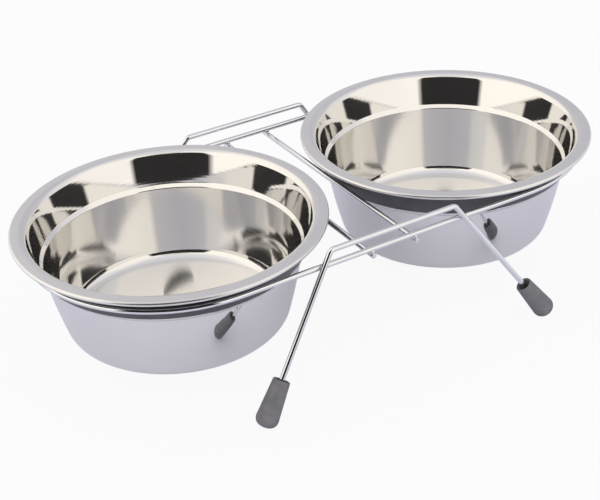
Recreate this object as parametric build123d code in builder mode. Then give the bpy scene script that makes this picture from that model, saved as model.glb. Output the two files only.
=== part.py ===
from build123d import *
import math
import os

os.makedirs("parts", exist_ok=True)

# A double pet bowl: two steel bowls that hang by rubber rings in a welded wire stand on four rubber feet.
# Millimetres. X runs from bowl to bowl, Y from front to rear, Z is up from the floor.

# Bowls, drawn from one sheet
rim_diameter = 170.0
rim_gap = 11.0
bowl_height = 63.0
sheet = 0.8
flange_width = 7.7
flange_fall = 0.9
roll_diameter = 2.6
roll_turn = 205.0
lip_radius = 4.0
band_depth = 18.6
band_taper = 17.2
ledge_width = 1.8
ledge_drop = 2.1
ledge_root_radius = 1.3
ledge_edge_radius = 0.8
wall_taper = 9.3
wall_belly_turn = 6.1
wall_land = 1.5
bottom_radius = 7.6

# Rubber rings round the tapered bands of the bowls
ring_thickness = 1.15
ring_height = 13.9
ring_below_lip = 3.4
ring_edge_radius = 0.35
ring_fit = 0.05

# Wire stand
wire_diameter = 3.0
weld_gap = 0.1
weld_diameter = 3.4
wire_end_round = 0.7
seat_clearance = 0.3
loop_height = 70.5
lip_over_loop = 10.1
cross_wire_overhang = 1.4
bar_length = 77.9
bar_rise = 8.4
bar_bend_radius = 3.4
leg_splay = 33.9
leg_tilt = 12.0

# Rubber feet
foot_length = 25.6
foot_base_diameter = 12.2
foot_mouth_diameter = 9.2
foot_edge_radius = 4.6
foot_lip_radius = 0.5
foot_sole = 6.0
foot_mouth_bore = 6.8
foot_mouth_depth = 4.0
foot_fit = 0.05
foot_flat = 0.4

SIDES = (("left", -1), ("right", 1))
ENDS = (("front", -1), ("rear", 1))

# Places that follow from the sizes
bowl_x = (rim_diameter + rim_gap) / 2
bowl_base_z = loop_height + lip_over_loop - bowl_height
wire_radius = wire_diameter / 2
wire_step = wire_diameter + weld_gap
splay = math.radians(leg_splay)
tilt = math.radians(leg_tilt)

# Middle line of the bowl's sheet: distance from the bowl's axis, height over its base
lip = (rim_diameter / 2 - flange_width, bowl_height - sheet / 2)
band_slope = math.tan(math.radians(band_taper))
band_foot = (lip[0] - band_slope * band_depth, lip[1] - band_depth)
ledge_foot = (band_foot[0] - ledge_width, band_foot[1] - ledge_drop)
fall_angle = math.atan(flange_fall / flange_width)
roll_radius = (roll_diameter - sheet) / 2
roll_start_r = (rim_diameter - roll_diameter) / 2 + roll_radius * math.sin(fall_angle)
roll_start = (roll_start_r, lip[1] - math.tan(fall_angle) * (roll_start_r - lip[0]))

# The wall bulges: its taper grows towards the base, along one long arc between two straight ends
top_taper = math.radians(wall_taper)
base_taper = math.radians(wall_taper + wall_belly_turn)
wall_drop = ledge_foot[1] - sheet / 2
bottom_cut = bottom_radius * math.tan((math.pi / 2 - base_taper) / 2)
belly_drop = (wall_drop / math.cos(base_taper) - bottom_cut) / (1 / math.cos(top_taper) + 1 / math.cos(base_taper))
belly = (ledge_foot[0] - math.tan(top_taper) * belly_drop, ledge_foot[1] - belly_drop)
belly_radius = (belly_drop / math.cos(top_taper) - wall_land) / math.tan(math.radians(wall_belly_turn) / 2)
base_corner = (belly[0] - math.tan(base_taper) * (belly[1] - sheet / 2), sheet / 2)

# Ring over the band's outside, measured out from the middle of the sheet
ring_inside = sheet / 2 + ring_fit
ring_outside = ring_inside + ring_thickness
ring_top = lip[1] - ring_below_lip


def outside_band(height, away):
    """Distance from a bowl's axis, at a height over its base, of what lies this far outside the band's middle."""
    return lip[0] - band_slope * (lip[1] - height) + away / math.cos(math.radians(band_taper))


def wire_from_bowl_axis(height):
    """Distance from a bowl's axis of a wire at this height over the floor that clears the ring."""
    return outside_band(height - bowl_base_z, ring_outside + seat_clearance + wire_radius)


loop_radius = wire_from_bowl_axis(loop_height)
cross_wire_z = loop_height - wire_step
cross_wire_x = bowl_x - wire_from_bowl_axis(cross_wire_z)
cross_wire_length = 2 * (loop_radius + wire_radius + cross_wire_overhang)


def leg_plane(end):
    """Plane of a leg frame: it leans against the outside of the loop, with its local Y up the frame."""
    outward = Vector(0, end * math.cos(tilt), math.sin(tilt))
    on_loop = Vector(0, end * loop_radius, loop_height)
    return Plane(origin=on_loop + outward * wire_step, x_dir=(1, 0, 0), z_dir=outward * -end)


# Foot and leg in the plane of their frame: the foot's rounded edge is pressed flat on the floor
leg_lean = math.acos(math.cos(splay) * math.cos(tilt))
foot_edge_ring = foot_base_diameter / 2 - foot_edge_radius
foot_base_z = foot_edge_ring * math.sin(leg_lean) + foot_edge_radius * (1 - math.cos(leg_lean)) - foot_flat
foot_base_y = (foot_base_z - leg_plane(1).origin.Z) / math.cos(tilt)
foot_base_x = bar_length / 2 + (bar_rise - foot_base_y) * math.tan(splay)
leg_end = (foot_base_x - foot_sole * math.sin(splay), foot_base_y + foot_sole * math.cos(splay))
leg_weld_x = bar_length / 2 + bar_rise * math.tan(splay)


def leg_up(end, side):
    """Unit direction up a leg, from its foot to the bar."""
    plane = leg_plane(end)
    return plane.x_dir * (-side * math.sin(splay)) + plane.y_dir * math.cos(splay)


def bowl_plane(side):
    """Section plane of a bowl: local X out from its axis, local Y up from its base."""
    return Plane(origin=(side * bowl_x, 0, bowl_base_z), x_dir=(1, 0, 0), z_dir=(0, -1, 0))


for name, side in SIDES:
    with BuildPart() as bowl:
        with BuildSketch(bowl_plane(side)):
            with BuildLine():
                corners = ((0, sheet / 2), base_corner, belly, ledge_foot, band_foot, lip, roll_start)
                radii = (bottom_radius, belly_radius, ledge_edge_radius, ledge_root_radius, lip_radius)
                FilletPolyline(*corners, radius=radii)
                rim_direction = (math.cos(fall_angle), -math.sin(fall_angle))
                JernArc(roll_start, rim_direction, roll_radius, -roll_turn)
            trace(line_width=sheet)
        revolve(axis=Axis((side * bowl_x, 0, 0), (0, 0, 1)))
    bowl.part.label = f"{name}_bowl"
    export_step(bowl.part, f"parts/{name}_bowl.step")

# A rubber ring on each bowl, stretched over the band's outside
for name, side in SIDES:
    with BuildPart() as ring:
        with BuildSketch(bowl_plane(side)):
            with BuildLine():
                ring_section = (
                    (outside_band(ring_top - ring_height, ring_inside), ring_top - ring_height),
                    (outside_band(ring_top - ring_height, ring_outside), ring_top - ring_height),
                    (outside_band(ring_top, ring_outside), ring_top),
                    (outside_band(ring_top, ring_inside), ring_top),
                )
                FilletPolyline(*ring_section, radius=ring_edge_radius, close=True)
            make_face()
        revolve(axis=Axis((side * bowl_x, 0, 0), (0, 0, 1)))
    ring.part.label = f"{name}_bowl_ring"
    export_step(ring.part, f"parts/{name}_bowl_ring.step")


# One closed wire round both bowls
with BuildPart() as support_loop:
    with BuildLine(Plane.XY.offset(loop_height)) as loop_route:
        Line((-bowl_x, -loop_radius), (bowl_x, -loop_radius))
        CenterArc((bowl_x, 0), loop_radius, -90, 180)
        Line((bowl_x, loop_radius), (-bowl_x, loop_radius))
        CenterArc((-bowl_x, 0), loop_radius, 90, 180)
    with BuildSketch(Plane(origin=(0, -loop_radius, loop_height), z_dir=(1, 0, 0))):
        Circle(wire_radius)
    sweep(path=loop_route.wire())
support_loop.part.label = "support_loop"
export_step(support_loop.part, "parts/support_loop.step")

# Two straight wires under the loop, between the bowls, with deburred ends
for name, side in SIDES:
    with BuildPart() as cross_wire:
        with BuildSketch(Plane.XZ.offset(-cross_wire_length / 2)):
            with Locations((side * cross_wire_x, cross_wire_z)):
                Circle(wire_radius)
        extrude(amount=cross_wire_length)
        fillet(cross_wire.edges().filter_by(GeomType.CIRCLE), radius=wire_end_round)
    cross_wire.part.label = f"{name}_cross_wire"
    export_step(cross_wire.part, f"parts/{name}_cross_wire.step")

# Two bent wires, each a bar over the loop with a leg at both ends
for name, end in ENDS:
    with BuildPart() as leg_frame:
        with BuildLine(leg_plane(end)) as leg_route:
            bar_end = (bar_length / 2, bar_rise)
            points = ((-leg_end[0], leg_end[1]), (-bar_end[0], bar_end[1]), bar_end, leg_end)
            FilletPolyline(*points, radius=bar_bend_radius)
        with BuildSketch(Plane(origin=leg_route.line @ 0, z_dir=leg_route.line % 0)):
            Circle(wire_radius)
        sweep(path=leg_route.line)
    leg_frame.part.label = f"{name}_leg_frame"
    export_step(leg_frame.part, f"parts/{name}_leg_frame.step")

# Tapered feet pushed on the legs, with a wide mouth, a blind bore and a rounded tread
foot_section = (
    (foot_edge_ring, 0),
    (0, 0),
    (0, foot_sole),
    (wire_radius + foot_fit, foot_sole),
    (wire_radius + foot_fit, foot_length - foot_mouth_depth),
    (foot_mouth_bore / 2, foot_length - foot_mouth_depth),
    (foot_mouth_bore / 2, foot_length),
    (foot_mouth_diameter / 2, foot_length),
    (foot_base_diameter / 2, foot_edge_radius),
)
for end_name, end in ENDS:
    for side_name, side in SIDES:
        up = leg_up(end, side)
        base = leg_plane(end).from_local_coords(Vector(side * foot_base_x, foot_base_y, 0))
        radial = up.cross(Vector(0, 0, 1)).normalized()
        with BuildPart() as foot:
            with BuildSketch(Plane(origin=base, x_dir=radial, z_dir=radial.cross(up))) as section:
                with BuildLine():
                    Polyline(*foot_section)
                    CenterArc((foot_edge_ring, foot_edge_radius), foot_edge_radius, -90, 90)
                make_face()
                fillet(section.vertices().group_by(Axis.Y)[-1], radius=foot_lip_radius)
            revolve(axis=Axis(base, up))
            split(bisect_by=Plane.XY, keep=Keep.TOP)
        foot.part.label = f"{end_name}_{side_name}_foot"
        export_step(foot.part, f"parts/{end_name}_{side_name}_foot.step")

# Weld beads fill the notches where two wires cross
with BuildPart() as cross_wire_welds:
    for _, end in ENDS:
        for _, side in SIDES:
            with Locations((side * cross_wire_x, end * loop_radius, loop_height - wire_step / 2)):
                Sphere(weld_diameter / 2)
            with Locations(Location((side * cross_wire_x, end * loop_radius, loop_height), (0, 90, 0))):
                Cylinder(wire_radius, 2 * weld_diameter, mode=Mode.SUBTRACT)
            with Locations(Location((side * cross_wire_x, end * loop_radius, cross_wire_z), (90, 0, 0))):
                Cylinder(wire_radius, 2 * weld_diameter, mode=Mode.SUBTRACT)
cross_wire_welds.part.label = "cross_wire_welds"
export_step(cross_wire_welds.part, "parts/cross_wire_welds.step")

with BuildPart() as leg_welds:
    for _, end in ENDS:
        for _, side in SIDES:
            plane = leg_plane(end)
            on_leg = plane.from_local_coords(Vector(side * leg_weld_x, 0, 0))
            on_loop = Vector(on_leg.X, end * loop_radius, loop_height)
            with Locations(Plane(origin=(on_leg + on_loop) * 0.5, z_dir=plane.z_dir)):
                Sphere(weld_diameter / 2)
            with Locations(Plane(origin=on_loop, z_dir=plane.x_dir)):
                Cylinder(wire_radius, 2 * weld_diameter, mode=Mode.SUBTRACT)
            with Locations(Plane(origin=on_leg, z_dir=leg_up(end, side))):
                Cylinder(wire_radius, 2 * weld_diameter, mode=Mode.SUBTRACT)
leg_welds.part.label = "leg_welds"
export_step(leg_welds.part, "parts/leg_welds.step")
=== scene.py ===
import math

import bpy
from mathutils import Matrix, Vector


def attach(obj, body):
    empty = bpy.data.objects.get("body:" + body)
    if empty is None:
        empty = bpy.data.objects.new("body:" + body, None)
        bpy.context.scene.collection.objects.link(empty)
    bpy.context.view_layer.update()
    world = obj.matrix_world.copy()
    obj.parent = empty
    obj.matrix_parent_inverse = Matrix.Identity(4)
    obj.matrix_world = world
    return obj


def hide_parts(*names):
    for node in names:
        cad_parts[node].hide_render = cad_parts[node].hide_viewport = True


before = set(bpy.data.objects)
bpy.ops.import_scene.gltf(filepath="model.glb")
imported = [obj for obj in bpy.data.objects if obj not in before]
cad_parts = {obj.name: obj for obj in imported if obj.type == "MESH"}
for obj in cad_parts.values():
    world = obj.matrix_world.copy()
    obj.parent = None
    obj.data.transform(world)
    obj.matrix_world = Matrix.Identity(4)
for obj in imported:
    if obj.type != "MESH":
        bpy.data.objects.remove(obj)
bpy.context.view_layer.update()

MM = 0.001

# A point with a smaller radius than this lies on the axis
ON_AXIS = 1e-6

# Bowls, in millimetres
RIM_DIAMETER = 170.0
RIM_GAP = 11.0
BOWL_HEIGHT = 63.0
SHEET = 0.8
FLANGE_WIDTH = 7.7
FLANGE_FALL = 0.9
ROLL_DIAMETER = 2.6
ROLL_TURN = math.radians(205.0)
LIP_RADIUS = 4.0
BAND_DEPTH = 18.6
BAND_TAPER = math.radians(17.2)
LEDGE_WIDTH = 1.8
LEDGE_DROP = 2.1
LEDGE_ROOT_RADIUS = 1.3
LEDGE_EDGE_RADIUS = 0.8
WALL_TAPER = math.radians(9.3)
WALL_BELLY_TURN = math.radians(6.1)
WALL_LAND = 1.5
BOTTOM_RADIUS = 7.6

# Rubber rings round the bowls' bands, in millimetres
RING_THICKNESS = 1.15
RING_HEIGHT = 13.9
RING_BELOW_LIP = 3.4
RING_EDGE_RADIUS = 0.35
RING_FIT = 0.05

# Wire stand, in millimetres
WIRE_DIAMETER = 3.0
WELD_GAP = 0.1
WIRE_END_ROUND = 0.7
SEAT_CLEARANCE = 0.3
LOOP_HEIGHT = 70.5
LIP_OVER_LOOP = 10.1
CROSS_WIRE_OVERHANG = 1.4
BAR_LENGTH = 77.9
BAR_RISE = 8.4
BAR_BEND_RADIUS = 3.4
LEG_SPLAY = math.radians(33.9)
LEG_TILT = math.radians(12.0)

# Rubber feet, in millimetres
FOOT_LENGTH = 25.6
FOOT_BASE_DIAMETER = 12.2
FOOT_MOUTH_DIAMETER = 9.2
FOOT_EDGE_RADIUS = 4.6
FOOT_LIP_RADIUS = 0.5
FOOT_SOLE = 6.0
FOOT_MOUTH_BORE = 6.8
FOOT_MOUTH_DEPTH = 4.0
FOOT_FIT = 0.05
FOOT_FLAT = 0.4

# Mesh density: segments round a full turn, steps along an arc or a straight length, and the
# longest step up a bowl's wall in millimetres
BOWL_SEGMENTS = 340
BOWL_ARC_STEPS = 20
BOWL_LONGEST_STEP = 2.0
ROLL_STEPS = 24
SHEET_EDGE_STEPS = 8
RING_EDGE_STEPS = 6
WIRE_SEGMENTS = 32
WIRE_STRAIGHT_STEPS = 12
WIRE_BEND_STEPS = 14
WIRE_END_STEPS = 5
LOOP_ARC_STEPS = 96
FOOT_SEGMENTS = 64
FOOT_EDGE_STEPS = 12
FOOT_SIDE_STEPS = 10
FOOT_LIP_STEPS = 6
FOOT_SHOULDER_STEPS = 4

SIDES = (("left", -1), ("right", 1))
ENDS = (("front", -1), ("rear", 1))

BOWL_X = (RIM_DIAMETER + RIM_GAP) / 2
BOWL_BASE_Z = LOOP_HEIGHT + LIP_OVER_LOOP - BOWL_HEIGHT
WIRE_RADIUS = WIRE_DIAMETER / 2
WIRE_STEP = WIRE_DIAMETER + WELD_GAP
LIP = Vector((RIM_DIAMETER / 2 - FLANGE_WIDTH, BOWL_HEIGHT - SHEET / 2))
RING_INSIDE = SHEET / 2 + RING_FIT
RING_OUTSIDE = RING_INSIDE + RING_THICKNESS


def outside_band(height, away):
    """Distance from a bowl's axis, at a height over its base, of a line beside its band.

    The line lies this far outside the middle of the band's sheet.
    """
    return LIP.x - math.tan(BAND_TAPER) * (LIP.y - height) + away / math.cos(BAND_TAPER)


def wire_from_bowl_axis(height):
    """Distance from a bowl's axis of a wire at this height over the floor that clears the ring."""
    return outside_band(height - BOWL_BASE_Z, RING_OUTSIDE + SEAT_CLEARANCE + WIRE_RADIUS)


LOOP_RADIUS = wire_from_bowl_axis(LOOP_HEIGHT)
CROSS_WIRE_Z = LOOP_HEIGHT - WIRE_STEP
CROSS_WIRE_X = BOWL_X - wire_from_bowl_axis(CROSS_WIRE_Z)
CROSS_WIRE_HALF = LOOP_RADIUS + WIRE_RADIUS + CROSS_WIRE_OVERHANG


# Meshes

def new_object(name, vertices, faces, material, normals=None):
    """A smooth mesh, with exact normals where one is given for each vertex."""
    mesh = bpy.data.meshes.new(name)
    mesh.from_pydata(vertices, [], faces)
    mesh.shade_smooth()
    if normals:
        mesh.normals_split_custom_set_from_vertices(normals)
    mesh.materials.append(material)
    obj = bpy.data.objects.new(name, mesh)
    bpy.context.scene.collection.objects.link(obj)
    return obj


def finish_piece(obj, body, slot, *nodes):
    """Puts a piece on its body, in place of the nodes it shows. Its slot is not used."""
    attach(obj, body)
    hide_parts(*nodes)


def swing(start, end, turn, steps):
    """Vectors that turn in equal steps from start to end, both included."""
    angles = [turn * i / steps for i in range(steps + 1)]
    return [(start * math.sin(turn - a) + end * math.sin(a)) / math.sin(turn) for a in angles]


def round_corner(before, corner, after, radius, steps):
    """Points of the arc that rounds a corner between two straight runs, ends included."""
    u = (before - corner).normalized()
    v = (after - corner).normalized()
    half = math.acos(max(-1.0, min(1.0, u.dot(v)))) / 2
    centre = corner + (u + v).normalized() * (radius / math.sin(half))
    start = corner + u * (radius / math.tan(half)) - centre
    end = corner + v * (radius / math.tan(half)) - centre
    return [centre + arm for arm in swing(start, end, math.pi - 2 * half, steps)]


def rounded_route(corners, radii, steps):
    """Points of a line from the first corner to the last, with those between them rounded."""
    route = [corners[0]]
    for i, radius in enumerate(radii):
        route += round_corner(*corners[i:i + 3], radius, steps)
    route.append(corners[-1])
    return route


def route_directions(corners, steps):
    """The exact direction of a rounded route at each of its points."""
    runs = [(after - before).normalized() for before, after in zip(corners, corners[1:])]
    directions = [runs[0]]
    for first, last in zip(runs, runs[1:]):
        directions += swing(first, last, first.angle(last), steps)
    directions.append(runs[-1])
    return directions


def fill_long_steps(points, directions, from_radius):
    """Adds points on straight lengths beyond a radius, so that no step there is too long."""
    filled, filled_directions = [points[0]], [directions[0]]
    for before, point, direction in zip(points, points[1:], directions[1:]):
        length = (point - before).length
        parts = math.ceil(length / BOWL_LONGEST_STEP) if before.x > from_radius else 1
        for i in range(1, parts + 1):
            filled.append(before.lerp(point, i / parts))
            filled_directions.append(direction)
    return filled, filled_directions


def spin(radius, height, count):
    """A (radius, height) pair at this many equal turns about Z."""
    angles = [2 * math.pi * i / count for i in range(count)]
    return [(radius * math.cos(a), radius * math.sin(a), height) for a in angles]


def turn_profile(profile, segments):
    """Vertices of (radius, height) points turned about Z, and each ring's vertex numbers."""
    vertices, rings = [], []
    for radius, height in profile:
        count = 1 if radius < ON_AXIS else segments
        rings.append([len(vertices) + i % count for i in range(segments)])
        vertices += spin(radius, height, count)
    return vertices, rings


def skin(rings, closed=False, flip=False):
    """Faces between neighbouring rings of vertex numbers, with triangles round a lone vertex."""
    faces = []
    for low, high in zip(rings, rings[1:] + rings[:1] if closed else rings[1:]):
        for i in range(len(low)):
            j = (i + 1) % len(low)
            second, fourth = (high[i], low[j]) if flip else (low[j], high[i])
            faces.append(list(dict.fromkeys((low[i], second, high[j], fourth))))
    return faces


# Bowls and their rings

def turn_on_bowl(name, side, profile, normals, material, closed=False):
    """Turns a profile in metres about a bowl's axis; a closed one ends where it starts."""
    vertices, rings = turn_profile(profile, BOWL_SEGMENTS)
    vertex_normals = []
    for normal, ring in zip(normals, rings):
        vertex_normals += spin(*normal, len(set(ring)))
    faces = skin(rings, closed, flip=True)
    piece = new_object(name, vertices, faces, material, vertex_normals)
    piece.location = (side * BOWL_X * MM, 0, BOWL_BASE_Z * MM)
    return piece


def bowl_corners(roll_start):
    """Corners of the middle of a bowl's sheet from its axis to its roll, and their radii."""
    band_foot = Vector((LIP.x - math.tan(BAND_TAPER) * BAND_DEPTH, LIP.y - BAND_DEPTH))
    ledge_foot = band_foot - Vector((LEDGE_WIDTH, LEDGE_DROP))
    base_y = SHEET / 2
    base_taper = WALL_TAPER + WALL_BELLY_TURN
    bottom_cut = BOTTOM_RADIUS * math.tan((math.pi / 2 - base_taper) / 2)
    wall_length = (ledge_foot.y - base_y) / math.cos(base_taper) - bottom_cut
    belly_drop = wall_length / (1 / math.cos(WALL_TAPER) + 1 / math.cos(base_taper))
    belly = ledge_foot - Vector((math.tan(WALL_TAPER) * belly_drop, belly_drop))
    belly_cut = belly_drop / math.cos(WALL_TAPER) - WALL_LAND
    belly_radius = belly_cut / math.tan(WALL_BELLY_TURN / 2)
    base_corner = Vector((belly.x - math.tan(base_taper) * (belly.y - base_y), base_y))
    corners = [Vector((0, base_y)), base_corner, belly, ledge_foot, band_foot, LIP, roll_start]
    radii = (BOTTOM_RADIUS, belly_radius, LEDGE_EDGE_RADIUS, LEDGE_ROOT_RADIUS, LIP_RADIUS)
    return corners, radii


def bowl_middle_line():
    """Points and directions along the middle of a bowl's sheet, to the end of its rolled edge."""
    fall = math.atan(FLANGE_FALL / FLANGE_WIDTH)
    roll = (ROLL_DIAMETER - SHEET) / 2
    start_r = (RIM_DIAMETER - ROLL_DIAMETER) / 2 + roll * math.sin(fall)
    roll_start = Vector((start_r, LIP.y - math.tan(fall) * (start_r - LIP.x)))
    corners, radii = bowl_corners(roll_start)
    points = rounded_route(corners, radii, BOWL_ARC_STEPS)
    directions = route_directions(corners, BOWL_ARC_STEPS)
    line, directions = fill_long_steps(points, directions, corners[1].x)
    centre = roll_start + Vector((-math.sin(fall), -math.cos(fall))) * roll
    for i in range(1, ROLL_STEPS + 1):
        a = math.pi / 2 - fall - ROLL_TURN * i / ROLL_STEPS
        line.append(centre + Vector((math.cos(a), math.sin(a))) * roll)
        directions.append(Vector((math.sin(a), -math.cos(a))))
    return line, directions


def bowl_profile():
    """Half section of the sheet: up the inside, round the rolled end and down the outside."""
    line, directions = bowl_middle_line()
    inside, outside, cap = [], [], []
    for p, d in zip(line, directions):
        left = Vector((-d.y, d.x))
        inside.append((p + left * SHEET / 2, left))
        outside.append((p - left * SHEET / 2, -left))
    end, d = line[-1], directions[-1]
    left = Vector((-d.y, d.x))
    for i in range(1, SHEET_EDGE_STEPS):
        a = math.pi * i / SHEET_EDGE_STEPS
        n = left * math.cos(a) + d * math.sin(a)
        cap.append((end + n * SHEET / 2, n))
    outline = inside + cap + outside[::-1]
    return [p * MM for p, _ in outline], [n for _, n in outline]


def make_bowls(material):
    profile, normals = bowl_profile()
    for name, side in SIDES:
        bowl = turn_on_bowl(f"{name}_bowl_shell", side, profile, normals, material)
        finish_piece(bowl, f"{name}_bowl", "bowl_steel", f"{name}_bowl")


def ring_profile():
    """Closed section of a ring over the band's outside, with rounded edges."""
    top = LIP.y - RING_BELOW_LIP
    low = top - RING_HEIGHT
    corners = [Vector((outside_band(h, away), h)) for h, away in (
        (low, RING_INSIDE), (top, RING_INSIDE), (top, RING_OUTSIDE), (low, RING_OUTSIDE))]
    line, normals = [], []
    for i, corner in enumerate(corners):
        after = corners[(i + 1) % len(corners)]
        line += round_corner(corners[i - 1], corner, after, RING_EDGE_RADIUS, RING_EDGE_STEPS)
    middle = sum(corners, Vector((0, 0))) / len(corners)
    for i, p in enumerate(line):
        a, b = p - line[i - 1], line[(i + 1) % len(line)] - p
        d = a.normalized() / a.length + b.normalized() / b.length
        n = Vector((d.y, -d.x)).normalized()
        normals.append(n if n.dot(p - middle) > 0 else -n)
    return [p * MM for p in line], normals


def make_rings(material):
    profile, normals = ring_profile()
    for name, side in SIDES:
        piece = f"{name}_bowl_rubber_ring"
        ring = turn_on_bowl(piece, side, profile, normals, material, closed=True)
        finish_piece(ring, f"{name}_bowl", "ring_rubber", f"{name}_bowl_ring")


# Wires

def route_frames(route, closed):
    """The direction of a route at each point, and two axes across it that don't twist."""
    count = len(route)
    tangents, frames = [], []
    for i in range(count):
        if closed:
            a, b = route[i - 1], route[(i + 1) % count]
        else:
            a, b = route[max(i - 1, 0)], route[min(i + 1, count - 1)]
        tangents.append((b - a).normalized())
    side = tangents[0].orthogonal().normalized()
    for t in tangents:
        side = (side - t * side.dot(t)).normalized()
        frames.append((side, t.cross(side)))
    return tangents, frames


def end_rings(tip, outward, axes):
    """Rings of a rounded wire end, from the flat tip inwards, with each normal's lean outwards."""
    rings = []
    for i in range(WIRE_END_STEPS + 1):
        a = math.pi / 2 * i / WIRE_END_STEPS
        radius = WIRE_RADIUS - WIRE_END_ROUND * (1 - math.sin(a))
        centre = tip - outward * WIRE_END_ROUND * (1 - math.cos(a))
        rings.append((centre, axes, radius, outward * (math.cos(a) ** 2)))
    return rings


def tube(name, route, material, closed=False):
    """A round wire along points in millimetres, with softly rounded cut ends."""
    tangents, frames = route_frames(route, closed)
    rings = [(p, axes, WIRE_RADIUS, Vector()) for p, axes in zip(route, frames)]
    if not closed:
        first = end_rings(route[0], -tangents[0], frames[0])
        last = end_rings(route[-1], tangents[-1], frames[-1])
        rings = first + rings[1:-1] + last[::-1]
    vertices, normals, numbers = [], [], []
    for centre, (u, v), radius, lean in rings:
        numbers.append(range(len(vertices), len(vertices) + WIRE_SEGMENTS))
        for k in range(WIRE_SEGMENTS):
            a = 2 * math.pi * k / WIRE_SEGMENTS
            out = u * math.cos(a) + v * math.sin(a)
            vertices.append((centre + out * radius) * MM)
            normals.append((out * (1 - lean.length) + lean).normalized())
    faces = skin(numbers, closed)
    if not closed:
        faces += [numbers[0][::-1], numbers[-1]]
    return new_object(name, vertices, faces, material, normals)


def half_circle(centre, start):
    """Points round one end of the loop from an angle in degrees, without the last."""
    points = []
    for i in range(LOOP_ARC_STEPS):
        a = math.radians(start + 180 * i / LOOP_ARC_STEPS)
        points.append(centre + Vector((math.cos(a), math.sin(a), 0)) * LOOP_RADIUS)
    return points


def make_loop(material):
    route = []
    for side, start in ((1, -90), (-1, 90)):
        centre = Vector((side * BOWL_X, 0, LOOP_HEIGHT))
        route += half_circle(centre, start)
        last = centre + Vector((0, side * LOOP_RADIUS, 0))
        for i in range(WIRE_STRAIGHT_STEPS):
            route.append(last - Vector((side * 2 * BOWL_X * i / WIRE_STRAIGHT_STEPS, 0, 0)))
    loop = tube("support_loop_wire", route, material, closed=True)
    finish_piece(loop, "stand", "chrome_wire", "support_loop")


def make_cross_wires(material):
    shares = [i / WIRE_STRAIGHT_STEPS for i in range(WIRE_STRAIGHT_STEPS + 1)]
    for name, side in SIDES:
        front, rear = (Vector((side * CROSS_WIRE_X, end * CROSS_WIRE_HALF, CROSS_WIRE_Z))
                       for _, end in ENDS)
        route = [front.lerp(rear, share) for share in shares]
        wire = tube(f"{name}_cross_wire_rod", route, material)
        finish_piece(wire, "stand", "chrome_wire", f"{name}_cross_wire")


def leg_frame_place(end):
    """Matrix of a leg frame's plane: local X along the bar, local Y up the frame."""
    outward = Vector((0, end * math.cos(LEG_TILT), math.sin(LEG_TILT)))
    up = Vector((0, -end * math.sin(LEG_TILT), math.cos(LEG_TILT)))
    origin = Vector((0, end * LOOP_RADIUS, LOOP_HEIGHT)) + outward * WIRE_STEP
    across = Vector((1, 0, 0))
    axes = Matrix((across, up, across.cross(up))).transposed()
    return Matrix.Translation(origin) @ axes.to_4x4()


# Where a leg's axis meets the base of its foot: Z over the floor, X and Y in the leg frame's plane
LEG_LEAN = math.acos(math.cos(LEG_SPLAY) * math.cos(LEG_TILT))
FOOT_EDGE_RING = FOOT_BASE_DIAMETER / 2 - FOOT_EDGE_RADIUS
FOOT_BASE_Z = (FOOT_EDGE_RING * math.sin(LEG_LEAN)
               + FOOT_EDGE_RADIUS * (1 - math.cos(LEG_LEAN)) - FOOT_FLAT)
FOOT_BASE_Y = (FOOT_BASE_Z - leg_frame_place(1).translation.z) / math.cos(LEG_TILT)
FOOT_BASE_X = BAR_LENGTH / 2 + (BAR_RISE - FOOT_BASE_Y) * math.tan(LEG_SPLAY)
LEG_UP = Vector((-math.sin(LEG_SPLAY), math.cos(LEG_SPLAY), 0))


def make_leg_frames(material):
    foot = Vector((FOOT_BASE_X, FOOT_BASE_Y, 0)) + LEG_UP * FOOT_SOLE
    corners = [Vector((-foot.x, foot.y, 0)), Vector((-BAR_LENGTH / 2, BAR_RISE, 0)),
               Vector((BAR_LENGTH / 2, BAR_RISE, 0)), foot]
    flat = rounded_route(corners, (BAR_BEND_RADIUS, BAR_BEND_RADIUS), WIRE_BEND_STEPS)
    for name, end in ENDS:
        place = leg_frame_place(end)
        wire = tube(f"{name}_leg_frame_wire", [place @ p for p in flat], material)
        finish_piece(wire, "stand", "chrome_wire", f"{name}_leg_frame")


# Feet

def foot_profile():
    """Half section of a foot in millimetres, from its base's middle round into its bore."""
    bore, mouth = WIRE_RADIUS + FOOT_FIT, FOOT_MOUTH_BORE / 2
    shoulder = FOOT_LENGTH - FOOT_MOUTH_DEPTH
    rim_outside = Vector((FOOT_MOUTH_DIAMETER / 2, FOOT_LENGTH))
    rim_inside = Vector((mouth, FOOT_LENGTH))
    mouth_end = Vector((mouth, shoulder))
    bore_start = Vector((bore, shoulder))
    line = [Vector((0, 0))]
    for i in range(FOOT_EDGE_STEPS + 1):
        a = -math.pi / 2 + math.pi / 2 * i / FOOT_EDGE_STEPS
        line.append(Vector((FOOT_EDGE_RING + FOOT_EDGE_RADIUS * math.cos(a),
                            FOOT_EDGE_RADIUS * (1 + math.sin(a)))))
    edge = line[-1]
    line += [edge.lerp(rim_outside, i / FOOT_SIDE_STEPS) for i in range(1, FOOT_SIDE_STEPS)]
    line += round_corner(edge, rim_outside, rim_inside, FOOT_LIP_RADIUS, FOOT_LIP_STEPS)
    line += round_corner(rim_outside, rim_inside, mouth_end, FOOT_LIP_RADIUS, FOOT_LIP_STEPS)
    line += round_corner(rim_inside, mouth_end, bore_start, FOOT_LIP_RADIUS, FOOT_SHOULDER_STEPS)
    line += [bore_start, Vector((bore, FOOT_SOLE)), Vector((0, FOOT_SOLE))]
    return line


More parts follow.
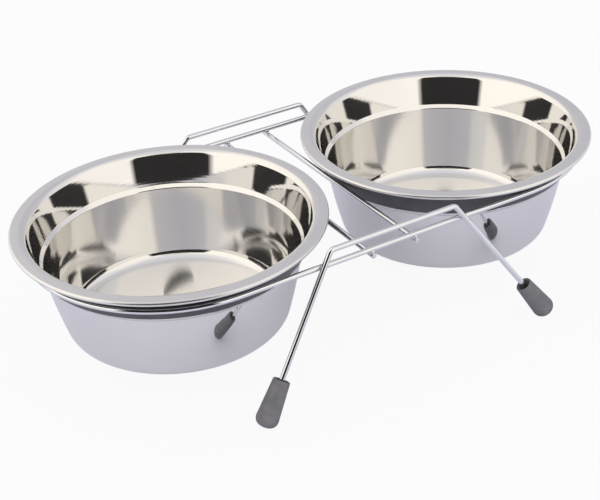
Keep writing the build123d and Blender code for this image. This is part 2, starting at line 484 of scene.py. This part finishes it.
def make_feet(material):
    """Feet along the legs, each pressed flat where it stands on the floor."""
    vertices, rings = turn_profile(foot_profile(), FOOT_SEGMENTS)
    faces = skin(rings)
    for end_name, end in ENDS:
        place = leg_frame_place(end)
        for side_name, side in SIDES:
            base = place @ Vector((side * FOOT_BASE_X, FOOT_BASE_Y, 0))
            up = (place.to_3x3() @ Vector((side * LEG_UP.x, LEG_UP.y, 0))).normalized()
            x = up.cross(Vector((0, 0, 1))).normalized()
            turn = Matrix((x, up.cross(x), up)).transposed()
            standing = [base + turn @ Vector(v) for v in vertices]
            for v in standing:
                v.z = max(v.z, 0.0)
            name = f"{end_name}_{side_name}"
            standing = [v * MM for v in standing]
            foot = new_object(f"{name}_rubber_foot", standing, faces, material)
            finish_piece(foot, "stand", "foot_rubber", f"{name}_foot")


# Shader nodes

def new_material(name):
    """A node material, its node tree and its shader."""
    material = bpy.data.materials.new(name)
    material.use_nodes = True
    tree = material.node_tree
    return material, tree, tree.nodes["Principled BSDF"]


def set_inputs(tree, node, inputs):
    """Sets each named or numbered input to its constant, or links it to the output given."""
    for key, value in inputs.items():
        if isinstance(value, bpy.types.NodeSocket):
            tree.links.new(value, node.inputs[key])
        else:
            node.inputs[key].default_value = value


def add_node(tree, kind, inputs, **settings):
    node = tree.nodes.new(kind)
    for name, value in settings.items():
        setattr(node, name, value)
    set_inputs(tree, node, inputs)
    return node


def object_coordinates(tree):
    return tree.nodes.new("ShaderNodeTexCoord").outputs["Object"]


def noise(tree, place, scale, detail):
    inputs = {"Vector": place, "Scale": scale, "Detail": detail}
    return add_node(tree, "ShaderNodeTexNoise", inputs).outputs["Fac"]


def remap(tree, value, low, high, from_low=0.0, from_high=1.0):
    inputs = {"Value": value, "From Min": from_low, "From Max": from_high,
              "To Min": low, "To Max": high}
    return add_node(tree, "ShaderNodeMapRange", inputs).outputs["Result"]


def bump(tree, height, distance, strength, under=None):
    """A normal raised by a height, over another bump where one is given."""
    inputs = {"Height": height, "Distance": distance, "Strength": strength}
    if under is not None:
        inputs["Normal"] = under
    return add_node(tree, "ShaderNodeBump", inputs).outputs["Normal"]


def math_node(tree, operation, *values):
    inputs = dict(enumerate(values))
    return add_node(tree, "ShaderNodeMath", inputs, operation=operation).outputs["Value"]


def measure(tree, operation, *vectors):
    """A vector operation whose result is a number."""
    inputs = dict(enumerate(vectors))
    return add_node(tree, "ShaderNodeVectorMath", inputs, operation=operation).outputs["Value"]


def split(tree, vector):
    return add_node(tree, "ShaderNodeSeparateXYZ", {"Vector": vector}).outputs


def mix(tree, data_type, factor, first, second):
    inputs = {"Factor": factor, "A": first, "B": second}
    return add_node(tree, "ShaderNodeMix", inputs, data_type=data_type).outputs["Result"]


def colour_ramp(tree, value, stops):
    """A colour that runs through (position, colour) stops as the value grows."""
    node = add_node(tree, "ShaderNodeValToRGB", {"Fac": value})
    elements = node.color_ramp.elements
    while len(elements) < len(stops):
        elements.new(0.5)
    for element, (position, colour) in zip(elements, stops):
        element.position = position
        element.color = (*colour, 1)
    return node.outputs["Color"]


def show_mixed(tree, output, factor, first, second):
    """Feeds an output node with a mix of two shaders."""
    mixed = add_node(tree, "ShaderNodeMixShader", {"Fac": factor, 1: first, 2: second})
    set_inputs(tree, tree.nodes[output], {"Surface": mixed.outputs["Shader"]})


# Materials. A noise is a scale per metre and a detail, a bump is a height in metres and a
# strength, and a roughness runs from the low to the high end of its noise.

STEEL_METALLIC = 0.985
STEEL_CLOUD = (38.0, 3.0)
STEEL_TINTS = ((0.0, (0.785, 0.775, 0.76)), (1.0, (0.835, 0.825, 0.81)))
STEEL_WAVES = (24.0, 1.0)
STEEL_WAVE_BUMP = (0.05 * MM, 0.35)
POLISHED_ROUGHNESS = (0.028, 0.06)
SATIN_ROUGHNESS = (0.26, 0.34)
SPUN_ROUGHNESS = (0.035, 0.065)
SPUN_ANISOTROPY = 0.95
SPUN_ROTATION = 0.25
POLISH_LINES = {"Scale": 700.0, "Distortion": 1.5}
POLISH_LINE_BUMP = (0.004 * MM, 0.25)
# Painted shade: a near-black colour for the flange's underside, where shade falls over the ring
# and wire
UNDERSIDE_PAINTED_SHADE = (0.07, 0.07, 0.072, 1)

# Zones of the steel: lengths in millimetres, and the values of the normal between which a zone
# fades: its upward part, or its outward part times the distance in metres from the axis
SATIN_START = 1.2
SATIN_BLEND = 0.5
LEDGE_BLEND = 0.3
UNDERSIDE_LOOKS_UP = (-0.8, -0.4)
FLOOR_LOOKS_UP = (0.3, 0.7)
INSIDE_LOOKS_OUT = (-0.03, -0.01)

CHROME_LOOK = {
    "metallic": 1.0, "roughness": (0.02, 0.07), "cloud": (160.0, 3.0),
    "tints": ((0.0, (0.75, 0.76, 0.775)), (1.0, (0.82, 0.83, 0.845))),
    "grain": (500.0, 3.0), "grain_bump": (0.01 * MM, 0.04)}
FOOT_LOOK = {
    "metallic": 0.0, "roughness": (0.52, 0.78), "cloud": (210.0, 6.0),
    "tints": ((0.3, (0.142, 0.142, 0.155)), (0.75, (0.205, 0.205, 0.224))),
    "grain": (2600.0, 4.0), "grain_bump": (0.12 * MM, 0.3)}
RING_LOOK = {
    "metallic": 0.0, "roughness": (0.28, 0.42), "cloud": (90.0, 5.0),
    "tints": ((0.3, (0.048, 0.048, 0.053)), (0.75, (0.075, 0.076, 0.084))),
    "grain": (1800.0, 3.0), "grain_bump": (0.06 * MM, 0.25)}


def bowl_zones(tree, place):
    """Shares of the satin flange, of its underside with painted shade, and of the spun inside
    below the ledge.
    """
    axes = split(tree, place)
    flat = add_node(tree, "ShaderNodeCombineXYZ", {"X": axes["X"], "Y": axes["Y"]})
    from_axis = flat.outputs["Vector"]
    normal = tree.nodes.new("ShaderNodeNewGeometry").outputs["Normal"]
    up = split(tree, normal)["Z"]
    out = measure(tree, "DOT_PRODUCT", normal, from_axis)
    start = (LIP.x + SATIN_START) * MM
    radius = measure(tree, "LENGTH", from_axis)
    flange = remap(tree, radius, 0.0, 1.0, start, start + SATIN_BLEND * MM)
    # Painted shade: where the flange faces down, it is marked for a near-black colour
    down = remap(tree, up, 1.0, 0.0, *UNDERSIDE_LOOKS_UP)
    under = math_node(tree, "MULTIPLY", down, flange)
    wall = remap(tree, out, 1.0, 0.0, *INSIDE_LOOKS_OUT)
    floor = remap(tree, up, 0.0, 1.0, *FLOOR_LOOKS_UP)
    inside = math_node(tree, "MAXIMUM", wall, floor)
    ledge = (LIP.y - BAND_DEPTH - LEDGE_DROP) * MM
    reach = (ledge - LEDGE_BLEND * MM, ledge + LEDGE_BLEND * MM)
    low = remap(tree, axes["Z"], 1.0, 0.0, *reach)
    return flange, under, math_node(tree, "MULTIPLY", inside, low)


def bowl_steel():
    """Polished steel, spun inside below the ledge, with a satin flange whose underside has painted
    shade.
    """
    material, tree, shader = new_material("bowl_polished_steel")
    place = object_coordinates(tree)
    flange, under, spun = bowl_zones(tree, place)
    cloud = noise(tree, place, *STEEL_CLOUD)
    polished, spun_gloss, satin = (remap(tree, cloud, *roughness) for roughness in (
        POLISHED_ROUGHNESS, SPUN_ROUGHNESS, SATIN_ROUGHNESS))
    gloss = mix(tree, "FLOAT", spun, polished, spun_gloss)
    tint = colour_ramp(tree, cloud, STEEL_TINTS)
    around = add_node(tree, "ShaderNodeTangent", {}, direction_type="RADIAL", axis="Z")
    wavy = bump(tree, noise(tree, place, *STEEL_WAVES), *STEEL_WAVE_BUMP)
    lines = add_node(tree, "ShaderNodeTexWave", {"Vector": place, **POLISH_LINES},
                     wave_type="RINGS", rings_direction="Z")
    set_inputs(tree, shader, {
        "Metallic": STEEL_METALLIC,
        # Painted shade: the flange's underside is mixed towards near-black
        "Base Color": mix(tree, "RGBA", under, tint, UNDERSIDE_PAINTED_SHADE),
        "Roughness": mix(tree, "FLOAT", flange, gloss, satin),
        "Anisotropic": remap(tree, spun, 0.0, SPUN_ANISOTROPY),
        "Anisotropic Rotation": SPUN_ROTATION,
        "Tangent": around.outputs["Tangent"],
        "Normal": bump(tree, lines.outputs["Fac"], *POLISH_LINE_BUMP, wavy)})
    return material


def cloudy_material(name, metallic, roughness, cloud, tints, grain, grain_bump):
    """A material with soft clouds in its colour and gloss and a fine grain."""
    material, tree, shader = new_material(name)
    place = object_coordinates(tree)
    clouds = noise(tree, place, *cloud)
    set_inputs(tree, shader, {
        "Metallic": metallic,
        "Base Color": colour_ramp(tree, clouds, tints),
        "Roughness": remap(tree, clouds, *roughness),
        "Normal": bump(tree, noise(tree, place, *grain), *grain_bump)})
    return material


# Stage, in metres and degrees, with the lens and the sensor in millimetres. Azimuths run from +X
# towards +Y, and the camera's from the front towards +X.

CAMERA_PLACE = (-0.34203, -0.57671, 0.42936)
CAMERA_AZIMUTH = -29.815
CAMERA_ELEVATION = 30.935
CAMERA_ROLL = -2.897
CAMERA_LENS = 80.77
CAMERA_SENSOR = 36.0
OPENING_AZIMUTH = -126.4
OPENING_DISTANCE = 0.534
OPENING_HALF_WIDTH = 0.36
OPENING_SOFT_EDGE = 0.06
OPENING_HEIGHT = 0.74
OPENING_COLOUR = (0.012, 0.011, 0.010, 1)
OPENING_ROUGHNESS = 1.0
PORT_CENTRE = (0.02, 0.93)
PORT_RADII = (0.2, 0.062)
PORT_CORNERS = 32
FLOOR_SIZE = 8.0
FLOOR_COLOUR = (0.69, 0.71, 0.885, 1)
FLOOR_ROUGHNESS = 0.9
FLOOR_CAMERA_GLOW = 0.92
FLOOR_GLOW = (0.19, 0.80)
FLOOR_GLOW_REACH = (0.3, 0.6)
BACKDROP_COLOUR = (1, 1, 1, 1)
TENT_STRENGTH = 1.24
TENT_TOP = (0.63, 0.63, 0.67, 1)
TENT_TOP_BLEND = (0.8, 1.0)
TENT_SIDES = (
    (-180, (1.0, 0.955, 0.88)), (-120, (0.97, 0.925, 0.85)), (-36, (0.90, 0.855, 0.81)),
    (-28, (0.75, 0.73, 0.725)), (-4, (0.68, 0.67, 0.67)), (6, (0.53, 0.525, 0.545)),
    (45, (0.47, 0.47, 0.515)), (92, (0.56, 0.545, 0.565)), (102, (0.92, 0.875, 0.815)),
    (150, (1.0, 0.955, 0.88)), (180, (1.0, 0.955, 0.88)))


def make_camera():
    angles = (CAMERA_AZIMUTH, CAMERA_ELEVATION, CAMERA_ROLL)
    az, el, roll = (math.radians(angle) for angle in angles)
    back = Vector((math.sin(az) * math.cos(el), -math.cos(az) * math.cos(el), math.sin(el)))
    level = Vector((math.cos(az), math.sin(az), 0))
    upright = back.cross(level)
    right = level * math.cos(roll) + upright * math.sin(roll)
    up = upright * math.cos(roll) - level * math.sin(roll)
    data = bpy.data.cameras.new("photo_camera")
    data.sensor_width = CAMERA_SENSOR
    data.lens = CAMERA_LENS
    camera = bpy.data.objects.new("photo_camera", data)
    axes = Matrix((right, up, back)).transposed()
    camera.matrix_world = Matrix.Translation(CAMERA_PLACE) @ axes.to_4x4()
    bpy.context.scene.collection.objects.link(camera)
    bpy.context.scene.camera = camera


def seen_share(tree, place):
    """How much of the floor glows by itself.

    It does for the camera, and in reflections less near the object than far away.
    """
    path = tree.nodes.new("ShaderNodeLightPath").outputs
    away = measure(tree, "LENGTH", place)
    glow = remap(tree, away, *FLOOR_GLOW, *FLOOR_GLOW_REACH)
    glossy = math_node(tree, "MULTIPLY", glow, path["Is Glossy Ray"])
    camera = remap(tree, path["Is Camera Ray"], 0.0, FLOOR_CAMERA_GLOW)
    return math_node(tree, "MAXIMUM", camera, glossy)


def make_floor():
    bpy.ops.mesh.primitive_plane_add(size=FLOOR_SIZE)
    floor = bpy.context.object
    floor.name = "studio_floor"
    material, tree, shader = new_material("studio_floor_white")
    set_inputs(tree, shader, {"Base Color": FLOOR_COLOUR, "Roughness": FLOOR_ROUGHNESS})
    glow = tree.nodes.new("ShaderNodeEmission").outputs["Emission"]
    share = seen_share(tree, object_coordinates(tree))
    show_mixed(tree, "Material Output", share, shader.outputs["BSDF"], glow)
    floor.data.materials.append(material)


def opening_material():
    """Darkness that fades out towards the sides of the opening."""
    material, tree, shader = new_material("tent_opening_dark")
    aside = math_node(tree, "ABSOLUTE", split(tree, object_coordinates(tree))["Y"])
    edge = (OPENING_HALF_WIDTH - OPENING_SOFT_EDGE, OPENING_HALF_WIDTH)
    set_inputs(tree, shader, {
        "Base Color": OPENING_COLOUR,
        "Roughness": OPENING_ROUGHNESS,
        "Alpha": remap(tree, aside, 1.0, 0.0, *edge)})
    return material


def make_tent_opening():
    """The tent's dark open side and a slot above it, which only show as reflections in metal."""
    half, top = OPENING_HALF_WIDTH, OPENING_HEIGHT
    opening = [(0, -half, 0), (0, half, 0), (0, half, top), (0, -half, top)]
    (port_y, port_z), (radius_y, radius_z) = PORT_CENTRE, PORT_RADII
    angles = [2 * math.pi * n / PORT_CORNERS for n in range(PORT_CORNERS)]
    port = [(0, port_y + radius_y * math.cos(a), port_z + radius_z * math.sin(a)) for a in angles]
    corners = opening + port
    faces = [range(len(opening)), range(len(opening), len(corners))]
    card = new_object("tent_opening", corners, faces, opening_material())
    turn = Matrix.Rotation(math.radians(OPENING_AZIMUTH), 4, "Z")
    card.matrix_world = turn @ Matrix.Translation((OPENING_DISTANCE, 0, 0))
    card.visible_camera = False
    card.visible_diffuse = False
    card.visible_shadow = False


def make_world():
    """A white light tent, seen by the camera as plain white.

    It is warm and bright at the left and front, grey at the right, cooler and darker at the
    rear right, and greyer at the top.
    """
    world = bpy.data.worlds.new("light_tent")
    bpy.context.scene.world = world
    world.use_nodes = True
    tree = world.node_tree
    direction = tree.nodes.new("ShaderNodeTexCoord").outputs["Generated"]
    around = add_node(tree, "ShaderNodeTexGradient", {"Vector": direction},
                      gradient_type="RADIAL")
    stops = [(azimuth / 360 + 0.5, colour) for azimuth, colour in TENT_SIDES]
    sides = colour_ramp(tree, around.outputs["Fac"], stops)
    height = split(tree, direction)["Z"]
    top = remap(tree, height, 0.0, 1.0, *TENT_TOP_BLEND)
    light = tree.nodes["Background"]
    set_inputs(tree, light, {
        "Color": mix(tree, "RGBA", top, sides, TENT_TOP), "Strength": TENT_STRENGTH})
    white = add_node(tree, "ShaderNodeBackground", {"Color": BACKDROP_COLOUR})
    seen = tree.nodes.new("ShaderNodeLightPath").outputs["Is Camera Ray"]
    show_mixed(tree, "World Output", seen,
               light.outputs["Background"], white.outputs["Background"])


def make_stage():
    make_camera()
    make_floor()
    make_tent_opening()
    make_world()
    bpy.context.scene.view_settings.view_transform = "Standard"


STEEL = bowl_steel()
CHROME = cloudy_material("stand_chrome", **CHROME_LOOK)
FOOT_RUBBER = cloudy_material("foot_grey_rubber", **FOOT_LOOK)
RING_RUBBER = cloudy_material("ring_dark_rubber", **RING_LOOK)
make_bowls(STEEL)
make_rings(RING_RUBBER)
make_loop(CHROME)
make_cross_wires(CHROME)
make_leg_frames(CHROME)
make_feet(FOOT_RUBBER)
for weld in ("cross_wire_welds", "leg_welds"):
    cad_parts[weld].data.materials[0] = CHROME
make_stage()
